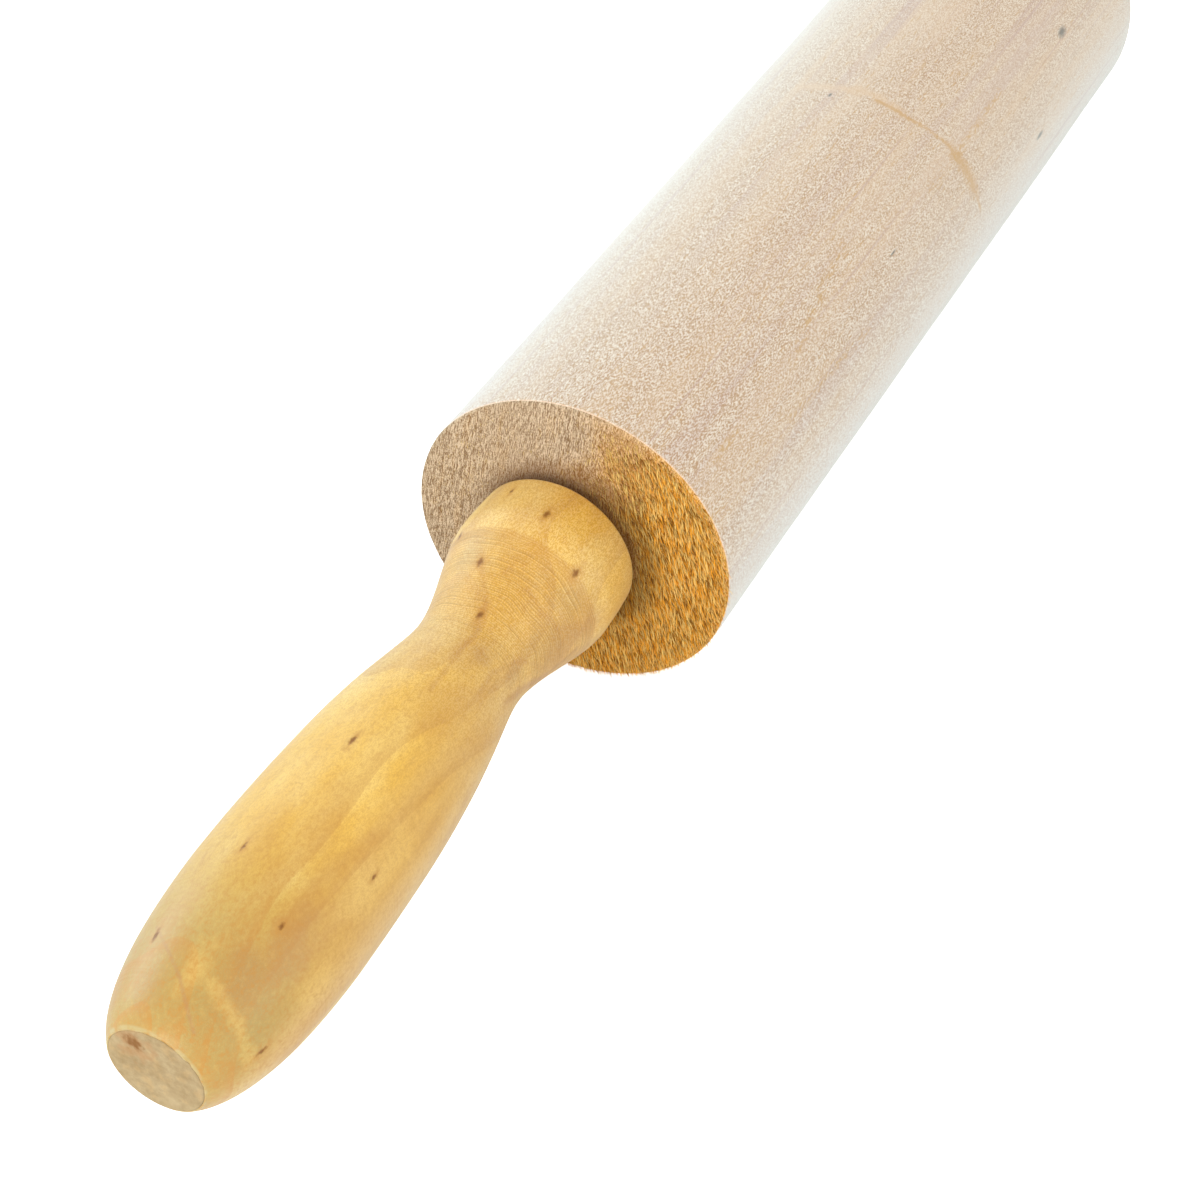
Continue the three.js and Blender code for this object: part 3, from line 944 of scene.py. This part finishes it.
def handle_material(name, piece, turn):
    """Satin varnished wood of a handle. A turn sets the same wood differently on the other one."""
    wood = Paint(name, roughness=0.42, specular=0.45, piece=piece, turn=turn)
    along = wood.math("ABSOLUTE", wood.axes(wood.vector)["X"])
    crest = (HANDLE_LOW.x + wood.sizes.collar_length) / MM
    waist = crest + wood.sizes.neck_length / MM
    end = HANDLE_HIGH.x / MM
    first_line = crest + NECK_LINES_START
    past_crest = wood.ramp(along, none=first_line - 0.5, full=first_line + 0.5)
    on_neck = wood.times(past_crest, wood.ramp(along, none=waist + 14.0, full=waist - 8.0))
    below_crest = wood.ramp(along, none=first_line + 4.0, full=first_line)
    near_collar = wood.ramp(along, none=waist + 35.0, full=waist)
    past_waist = wood.ramp(along, none=waist, full=waist + 18.0)
    before_nose = wood.ramp(along, none=end - 4.0, full=end - 30.0)
    on_nose = wood.ramp(along, none=end - 42.0, full=end - 6.0)
    at_lip = wood.ramp(along, none=end - 0.45, full=end - 0.15)
    pith = on_surface(wood.studio, bpy.data.objects["cut_left_plug"], END_PITH)
    rings = wood.group("Growth rings", Pith=pith, Spacing=3.4, Wander=6.0)
    fine = wood.group("Wood fibres", Width=0.17, Length=0.4)
    turning = wood.group("Turning marks", Pitch=0.42)
    cloud = wood.noise(detail=3.0, roughness=0.55, stretch=(16.0, 6.0, 6.0))
    wood.base(wood.ramp(cloud, none=0.36, full=0.7), "honey", "honey_pale")
    wood.tint("honey_olive", on_nose, share=0.9)
    # Painted shade: along the grip the handle's lower right side is painted darker, as if in shade
    shaded_side = wood.towards(SHADED_SIDE)
    on_grip = wood.times(past_waist, before_nose)
    painted_shade_band = wood.times(wood.ramp(shaded_side, none=-4.0, full=6.0), on_grip)
    wood.tint("honey_dark", painted_shade_band, share=0.5)
    # Painted light: a pale rim is painted along the handle's lower right edge, as if lit there
    handle_lit_edge = wood.times(wood.ramp(shaded_side, none=7.0, full=13.0), past_waist)
    wood.tint("honey_pale", handle_lit_edge, share=0.85)
    wood.tint("raw_pale", handle_lit_edge, share=0.3)
    figure = wood.noise(detail=5.0, roughness=0.7, stretch=(22.0, 4.5, 4.5))
    wood.tint("honey_dark", figure, share=0.42, none=0.48, full=0.72)
    wood.tint("honey_dark", rings["Tone"], share=0.2)
    wood.tint("honey_dark", rings["Line"], share=wood.scaled(on_nose, by=0.25, plus=0.18))
    for shade, share, rag_size, places in HANDLE_PATCHES:
        patches = wood.marks(places, long=1.5, wide=1.5, ragged=1.8, rag_size=rag_size)
        wood.tint(shade, patches, share)
    for shade, share, width, ragged, rag_size, ways in HANDLE_FIGURE:
        wood.tint(shade, wood.strokes(ways, width, ragged, rag_size), share)
    mottle = wood.noise(detail=3.0, roughness=0.65, stretch=(0.9, 0.7, 0.7))
    mottle_share = wood.scaled(on_nose, by=0.3, plus=0.3)
    wood.tint("honey_dark", mottle, share=mottle_share, none=0.46, full=0.7)
    wood.tint("honey_pale", mottle, share=0.1, none=0.5, full=0.3)
    speckle = wood.scaled(near_collar, by=0.26, plus=0.22)
    wood.tint("honey_dark", fine["Fibres"], share=speckle, none=0.4, full=0.8)
    pale_specks = wood.ramp(fine["Fibres"], none=0.5, full=0.15)
    wood.tint("raw_pale", wood.times(pale_specks, near_collar), share=0.22)
    # Darker band just past the crest, where the first tool lines run: painted shade where the neck
    # turns in under the crest
    wood.tint("honey_dark", wood.times(below_crest, on_neck), share=0.25)
    wood.tint("honey_dark", wood.times(turning["Ridges"], on_neck), share=0.5)
    lines = wood.times(turning["Scratches"], wood.scaled(on_neck, by=0.45, plus=0.05))
    wood.tint("fleck", lines, share=0.6)
    for shade, share, *shape in FLECK_LAYERS:
        flecks = wood.marks(HANDLE_FLECKS, *shape)
        wood.tint(shade, flecks, share)
    # A patchy pale ring on the lip: bare wood and a painted highlight on its edge
    worn = wood.ramp(wood.noise(scale=0.5), none=0.36, full=0.6)
    wood.tint("lip_bare_and_highlight", wood.times(at_lip, worn), share=0.9)
    relief = wood.minus(wood.scaled(fine["Fibres"], by=0.3, plus=lines), flecks)
    varnish = {
        "Roughness": wood.scaled(turning["Scratches"], by=0.12, plus=0.38),
        "Coat Weight": wood.scaled(flecks, by=-0.3, plus=0.3),
        "Coat Roughness": 0.3,
        "Sheen Weight": 0.14,
        "Sheen Roughness": 0.4,
        "Sheen Tint": VARNISH_SHEEN,
    }
    return wood.finish(relief, depth=0.03, inputs=varnish)


def plug_material(piece):
    """Raw end grain of a handle's plug, with its dark pith to one side."""
    wood = Paint("Plug end grain", roughness=0.85, specular=0.2, piece=piece)
    mottle = wood.noise(scale=0.9, detail=4.0, roughness=0.65)
    tone = wood.times(wood.math("ADD", wood.noise(scale=0.25), mottle), by=0.5)
    wood.base(wood.ramp(tone, none=0.28, full=0.72), "plug_wood", "plug_pale")
    pink = wood.noise(scale=0.45, roughness=0.6)
    wood.tint("scratch", pink, share=0.18, none=0.48, full=0.7)
    stain = wood.marks(PITH_STAIN, long=1.0, wide=1.2, ragged=2.2, rag_size=1.6)
    wood.tint("plug_stain", stain, share=0.65)
    core = wood.marks(PITH_STAIN, long=1.0, wide=0.55, ragged=2.0, rag_size=1.0)
    wood.tint("plug_pith", core, share=0.85)
    return wood.finish(mottle, depth=0.05)


def metal_material(name, shade, roughness, stretch):
    """Steel with fine lines, drawn out by a stretch, and a little cloudiness."""
    steel = Paint(name, roughness)
    lines = steel.noise(detail=4.0, roughness=0.7, stretch=stretch)
    cloud = steel.noise(scale=0.4, detail=3.0, roughness=0.6)
    steel.base(steel.times(steel.math("ADD", lines, cloud), by=0.35), shade, STEEL_SHADE)
    worn = steel.scaled(lines, by=0.25, plus=roughness - 0.1)
    return steel.finish(lines, depth=0.01, inputs={"Metallic": 1.0, "Roughness": worn})


def nylon_material():
    """Natural moulded nylon with a faint flow pattern."""
    nylon = Paint("Natural nylon", roughness=0.5)
    flow = nylon.noise(scale=0.3, detail=3.0, roughness=0.6)
    grain = nylon.noise(scale=6.0)
    nylon.base(nylon.times(flow, by=0.3), "nylon", "raw_warm")
    dull = nylon.scaled(grain, by=0.15, plus=0.42)
    return nylon.finish(grain, depth=0.01, inputs={"Roughness": dull})


def raised_fibre_nodes(sizes, material):
    """Geometry nodes that lay torn fibres on the barrel's sawn ends, combed the saw's way."""
    tree = bpy.data.node_groups.new("Raised fibres", "GeometryNodeTree")
    for way in ("INPUT", "OUTPUT"):
        tree.interface.new_socket(name="Geometry", in_out=way, socket_type="NodeSocketGeometry")
    nodes = Nodes(tree)
    barrel = nodes.add("NodeGroupInput").outputs[0]
    position = nodes.add("GeometryNodeInputPosition").outputs[0]
    normal = nodes.add("GeometryNodeInputNormal").outputs[0]
    nodes.vector = nodes.vectors("MULTIPLY", position, PER_MM)
    facing = nodes.math("ABSOLUTE", nodes.vectors("DOT_PRODUCT", normal, ALONG_PIN))
    ring = nodes.ring()
    on_end = nodes.ramp(facing, none=0.6, full=0.8)
    outside_washer = nodes.ramp(ring, none=11.0, full=13.0)
    inside_rim = nodes.ramp(ring, none=27.4, full=26.6)
    cover = nodes.times(nodes.times(on_end, outside_washer), inside_rim)
    near_end = nodes.ramp(nodes.towards(ALONG_PIN), none=10.0, full=-10.0)
    torn = nodes.times(torn_share(nodes), nodes.scaled(near_end, by=0.5, plus=0.5))
    share = nodes.times(cover, nodes.scaled(torn, by=0.9, plus=0.1))
    density = nodes.times(share, FIBRES_PER_MM2 / MM ** 2)
    spread = {"Mesh": barrel, "Density": density, "Seed": FIBRE_SEED}
    scatter = nodes.add("GeometryNodeDistributePointsOnFaces", spread).outputs

    root = sizes.fibre_width / 2
    cone = {"Vertices": 3, "Radius Top": 0, "Radius Bottom": root, "Depth": sizes.fibre_length}
    fibre = nodes.add("GeometryNodeMeshCone", cone).outputs["Mesh"]
    height = nodes.math("DIVIDE", nodes.axes(position)["Z"], sizes.fibre_length)
    tip = {"Geometry": fibre, "Name": "tip", "Value": height}
    fibre = nodes.add("GeometryNodeStoreNamedAttribute", tip).outputs["Geometry"]
    finish = {"Geometry": fibre, "Material": material}
    fibre = nodes.add("GeometryNodeSetMaterial", finish).outputs["Geometry"]

    limits = {"Min": (-FIBRE_SCATTER,) * 3, "Max": (FIBRE_SCATTER,) * 3, "Seed": FIBRE_SEED + 1}
    astray = nodes.add("FunctionNodeRandomValue", limits, data_type="FLOAT_VECTOR").outputs["Value"]
    combed = nodes.vectors("ADD", nodes.vectors("MULTIPLY", scatter["Normal"], FIBRE_RISE), SAW_WAY)
    way = nodes.vectors("ADD", combed, astray)
    aligned = nodes.add("FunctionNodeAlignRotationToVector", {"Vector": way}, axis="Z").outputs[0]
    chance = nodes.add("FunctionNodeRandomValue", {"Seed": FIBRE_SEED + 2}).outputs[1]
    near_rim = nodes.ramp(ring, none=24.5, full=27.0)
    shorter = nodes.scaled(near_rim, by=-0.4, plus=1.0)
    size = nodes.times(nodes.scaled(torn, by=0.6, plus=0.25), shorter)
    size = nodes.times(size, nodes.scaled(chance, by=0.8, plus=0.4))
    planted = {"Points": scatter["Points"], "Instance": fibre, "Rotation": aligned, "Scale": size}
    fibres = nodes.add("GeometryNodeInstanceOnPoints", planted).outputs["Instances"]
    tone = nodes.add("FunctionNodeRandomValue", {"Seed": FIBRE_SEED + 3}).outputs[1]
    shade = {"Geometry": fibres, "Name": "shade", "Value": tone}
    fibres = nodes.add("GeometryNodeStoreNamedAttribute", shade, domain="INSTANCE").outputs[0]
    fibres = nodes.add("GeometryNodeRealizeInstances", {"Geometry": fibres}).outputs["Geometry"]
    joined = nodes.add("GeometryNodeJoinGeometry", {"Geometry": fibres})
    nodes.fill(joined, {"Geometry": barrel})
    nodes.add("NodeGroupOutput", {0: joined.outputs["Geometry"]})
    return tree


def barrel_outline(sizes):
    """Outline of the barrel, round from its bore and back to it."""
    half = BARREL_HIGH.x
    radius = BARREL_HIGH.z
    bore = AXLE_HIGH.z + sizes.bore_air_gap
    bush_floor = BUSH_LOW.x - sizes.press_clearance
    bush_hole = bore + BUSH_WALL
    recess_floor = half - RECESS_DEPTH
    recess = BUSH_HIGH.z + sizes.press_clearance
    rim = sizes.barrel_rim_round
    right = [(bush_floor, bore), (bush_floor, bush_hole), (recess_floor, bush_hole)]
    right += [(recess_floor, recess), (half, recess)]
    right += steps_between((half, recess), (half, radius - rim), count=24)
    right += round_between((half, radius - rim), (half, radius), (half - rim, radius), count=5)
    left = [(-along, ring) for along, ring in reversed(right)]
    side = steps_between(right[-1], left[0], count=48)[:-1]
    return right + side + left + [right[0]]


def to_face(sizes, place):
    """How far a place on the barrel lies behind its nearer end face."""
    if place.x > 0:
        return BARREL_HIGH.x - place.x
    return BARREL_HIGH.x - sizes.face_offset + place.x + math.tan(sizes.face_lean) * place.y


class ROLLINGPIN_OT_barrel(bpy.types.Operator):
    """Turn the raw wood barrel and tear up the fibres on its sawn ends"""

    bl_idname = "rolling_pin.barrel"
    bl_label = "Turn Barrel"

    def execute(self, context):
        sizes, _, _ = settings(context)
        barrel = turn_outline("turned_barrel", barrel_outline(sizes), BARREL_SIDES)
        recess = BUSH_HIGH.z + sizes.press_clearance
        rim = BARREL_HIGH.x - sizes.barrel_rim_round

        def on_near_end(vertex):
            return vertex.co.x < HAIR - rim and from_axis(vertex.co) > recess - HAIR

        middle, shift = (-BARREL_HIGH.x, 0, 0), (sizes.face_offset, 0, 0)
        lean(barrel, on_near_end, sizes.face_lean, middle, shift)
        roughen(barrel, "barrel waviness", BARREL_WAVES, sizes.turning_unevenness)

        def on_face(place):
            outside = from_axis(place) > recess + RECESS_MARGIN
            return 1.0 if to_face(sizes, place) < BARREL_FACE_DEPTH and outside else 0.0

        roughen(barrel, "saw marks", BARREL_SAW_GRAIN, sizes.saw_roughness, on_face, direction="X")
        give_material(barrel, raw_wood_material(barrel))

        def on_sawn_end(face):
            centre = face.calc_center_median()
            outside = from_axis(centre) > recess
            near_face = to_face(sizes, centre) < SAWN_DEPTH
            return near_face and outside and abs(face.normal.x) > FACING_ALONG

        give_material(barrel, sawn_end_material(), on_sawn_end)
        bpy.ops.object.modifier_add(type="NODES")
        modifier = barrel.modifiers[-1]
        modifier.node_group = raised_fibre_nodes(sizes, raised_fibre_material())
        bpy.ops.object.modifier_apply(modifier=modifier.name)
        bpy.ops.object.material_slot_remove_unused()
        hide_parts("barrel")
        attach(barrel, "roller")
        return {"FINISHED"}


def handle_outline(sizes):
    """Outline of a handle from its back to its lip and back through its bore, outwards along +X."""
    back = HANDLE_LOW.x
    end = HANDLE_HIGH.x
    collar = (back + sizes.collar_length, sizes.collar_radius)
    waist = (collar[0] + sizes.neck_length, sizes.waist_radius)
    grip = (waist[0] + sizes.grip_length, sizes.grip_radius)
    tip = (end, LIP_RADIUS)
    plug_hole = tip[1] - sizes.lip_width
    bolt_hole = AXLE_HIGH.z - THREAD_STEP + sizes.bolt_clearance
    floor = WASHER_LOW.x - SEAT_GAP
    back_radius = sizes.collar_radius - sizes.collar_taper
    rim = sizes.collar_round
    start = (back, bolt_hole)
    rim_start, rim_end = (back, back_radius - rim), (back + rim, back_radius)
    outline = [start]
    outline += steps_between(start, rim_start, count=6)
    outline += round_between(rim_start, (back, back_radius), rim_end, count=5)
    outline += level_sweep(rim_end, collar, COLLAR_LEVELS, count=10)
    outline += level_sweep(collar, waist, NECK_LEVELS, count=24)
    outline += level_sweep(waist, grip, GRIP_LEVELS, count=40)
    nose = end - grip[0]
    reach = NOSE_END_REACH * nose
    leave = (grip[0] + NOSE_LEVEL_START * nose, grip[1])
    arrive = (end - reach, tip[1] + reach * math.tan(NOSE_END_ANGLE))
    outline += curve_between(grip, leave, arrive, tip, count=36)
    outline += [(end, plug_hole), (end - LIP_DEPTH, plug_hole)]
    outline += [(floor, plug_hole), (floor, bolt_hole), start]
    return outline


class ROLLINGPIN_OT_handles(bpy.types.Operator):
    """Turn one handle, copy it to the other end and varnish both"""

    bl_idname = "rolling_pin.handles"
    bl_label = "Turn Handles"

    def execute(self, context):
        sizes, _, _ = settings(context)
        right = turn_outline("turned_right_handle", handle_outline(sizes), HANDLE_SIDES)
        roughen(right, "handle waviness", HANDLE_WAVES, sizes.turning_unevenness)

        def on_lip(place):
            at_end = place.x > HANDLE_HIGH.x - BURR_DEPTH
            return max(0.0, BURR_SIDE.dot(place) / LIP_RADIUS) if at_end else 0.0

        roughen(right, "lip burr", BURR_GRAIN, sizes.burr_height, on_lip, direction="X")
        lean_handle(right, sizes, kept_radius=AXLE_HIGH.z)
        left = copy_to_left(right, "turned_left_handle")
        give_material(left, handle_material("Varnished left handle", left, ORIGIN))
        give_material(right, handle_material("Varnished right handle", left, RIGHT_HANDLE_TURN))
        for piece, side in ((left, "left"), (right, "right")):
            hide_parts(f"{side}_handle")
            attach(piece, "handles")
        return {"FINISHED"}


def plug_outline(sizes):
    """Outline of a plug from the middle of its inner face to the middle of its outer face."""
    radius = LIP_RADIUS - sizes.lip_width - sizes.plug_clearance
    inner, outer = PLUG_LOW.x, PLUG_HIGH.x
    side = radius - PLUG_EDGE
    outline = [(inner, 0)]
    outline += steps_between((inner, 0), (inner, side), count=6)
    outline += round_between((inner, side), (inner, radius), (inner + PLUG_EDGE, radius), count=3)
    outline += [(outer - PLUG_EDGE, radius)]
    outline += round_between((outer - PLUG_EDGE, radius), (outer, radius), (outer, side), count=4)
    outline += steps_between((outer, side), (outer, 0), count=22)
    return outline


class ROLLINGPIN_OT_plugs(bpy.types.Operator):
    """Cut the plugs that close the handles' ends"""

    bl_idname = "rolling_pin.plugs"
    bl_label = "Cut Plugs"

    def execute(self, context):
        sizes, _, _ = settings(context)
        right = turn_outline("cut_right_plug", plug_outline(sizes), PLUG_SIDES)

        def on_face(place):
            return 1.0 if place.x > PLUG_HIGH.x - PLUG_FACE_DEPTH else 0.0

        depth = sizes.saw_roughness / 2
        roughen(right, "plug saw marks", PLUG_SAW_GRAIN, depth, on_face, direction="X")
        lean_handle(right, sizes, kept_radius=0)
        left = copy_to_left(right, "cut_left_plug")
        finish = plug_material(left)
        for piece, side in ((left, "left"), (right, "right")):
            give_material(piece, finish)
            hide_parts(f"{side}_end_plug")
            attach(piece, "handles")
        return {"FINISHED"}


class ROLLINGPIN_OT_fittings(bpy.types.Operator):
    """Finish the axle, bushes, washers and nuts inside the pin"""

    bl_idname = "rolling_pin.fittings"
    bl_label = "Finish Fittings"

    def execute(self, context):
        drawn = metal_material("Drawn steel", "steel", roughness=0.35, stretch=(30.0, 0.2, 0.2))
        plated = metal_material("Zinc plate", "zinc", roughness=0.4, stretch=(0.8, 0.8, 0.8))
        nylon = nylon_material()
        finishes = {"axle": drawn}
        for side in ("left", "right"):
            finishes[f"{side}_bush"] = nylon
            for piece in ("thrust_washer", "clamp_washer", "spring_washer", "nut"):
                finishes[f"{side}_{piece}"] = plated
        for node, finish in finishes.items():
            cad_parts[node].material_slots[0].material = finish
        return {"FINISHED"}


def add_softbox(name, place, power, tone):
    """A square area light that faces the pin's middle."""
    bpy.ops.object.light_add(type="AREA", location=place)
    light = bpy.context.object
    light.name = light.data.name = name
    light.data.shape = "SQUARE"
    light.data.size = SOFTBOX_SIDE
    light.data.energy = power
    light.data.color = tone
    light.rotation_euler = Vector(place).to_track_quat("Z", "Y").to_euler()


def floor_material(studio):
    """Plain pale floor that looks evenly white to the camera, with no shadow on it."""
    material = bpy.data.materials.new("Studio floor")
    material.use_nodes = True
    nodes = Nodes(material.node_tree)
    seen = nodes.add("ShaderNodeLightPath").outputs["Is Camera Ray"]
    glow = nodes.times(seen, studio.floor_glow)
    nodes.shader({"Base Color": (*studio.floor_colour, 1.0), "Roughness": 0.9})
    nodes.shader({"Emission Color": WHITE, "Emission Strength": glow})
    return material


class ROLLINGPIN_OT_stage(bpy.types.Operator):
    """Lay the floor, hang the lights and set the camera"""

    bl_idname = "rolling_pin.stage"
    bl_label = "Set Stage"

    def execute(self, context):
        _, _, studio = settings(context)
        deselect_all()
        bpy.ops.mesh.primitive_plane_add(size=FLOOR_SIDE, location=(0, 0, cad_box[0].z))
        floor = bpy.context.object
        floor.name = "studio_floor"
        floor.data.materials.append(floor_material(studio))
        for softbox in SOFTBOXES:
            add_softbox(*softbox)
        world = bpy.data.worlds.new("studio_air")
        world.use_nodes = True
        air = world.node_tree.nodes["Background"].inputs
        air["Color"].default_value = WHITE
        air["Strength"].default_value = studio.sky
        context.scene.world = world
        context.scene.view_settings.view_transform = "Standard"
        turn = (math.pi / 2 - studio.elevation, 0, studio.azimuth)
        bpy.ops.object.camera_add(location=studio.place, rotation=turn)
        camera = bpy.context.object
        camera.data.lens = studio.lens
        camera.data.sensor_width = SENSOR_WIDTH
        camera.data.clip_start = NEAREST_SEEN
        context.scene.camera = camera
        return {"FINISHED"}


class ROLLINGPIN_PT_panel(bpy.types.Panel):
    """Steps that make the rolling pin"""

    bl_label = "Rolling Pin"
    bl_idname = "ROLLINGPIN_PT_panel"
    bl_space_type = "VIEW_3D"
    bl_region_type = "UI"
    bl_category = "Rolling Pin"

    def draw(self, context):
        for operator in OPERATORS:
            self.layout.operator(operator.bl_idname)
        for group in settings(context):
            box = self.layout.box()
            for name in group.bl_rna.properties.keys():
                if name not in {"rna_type", "name"}:
                    box.prop(group, name)


PROPERTY_GROUPS = {
    "rolling_pin_sizes": PinSizes,
    "rolling_pin_colours": PinColours,
    "rolling_pin_studio": StudioSettings,
}
OPERATORS = (
    ROLLINGPIN_OT_stage,
    ROLLINGPIN_OT_barrel,
    ROLLINGPIN_OT_plugs,
    ROLLINGPIN_OT_handles,
    ROLLINGPIN_OT_fittings,
)
CLASSES = (*PROPERTY_GROUPS.values(), *OPERATORS, ROLLINGPIN_PT_panel)


def register():
    """Adds the classes and the scene's settings."""
    for one in CLASSES:
        bpy.utils.register_class(one)
    for name, group in PROPERTY_GROUPS.items():
        setattr(bpy.types.Scene, name, bpy.props.PointerProperty(type=group))


def unregister():
    """Removes the scene's settings and the classes."""
    for name in PROPERTY_GROUPS:
        delattr(bpy.types.Scene, name)
    for one in reversed(CLASSES):
        bpy.utils.unregister_class(one)


def main():
    """Makes the pin and its stage."""
    register()
    bpy.ops.rolling_pin.stage()
    bpy.ops.rolling_pin.barrel()
    bpy.ops.rolling_pin.plugs()
    bpy.ops.rolling_pin.handles()
    bpy.ops.rolling_pin.fittings()


if __name__ == "__main__":
    main()
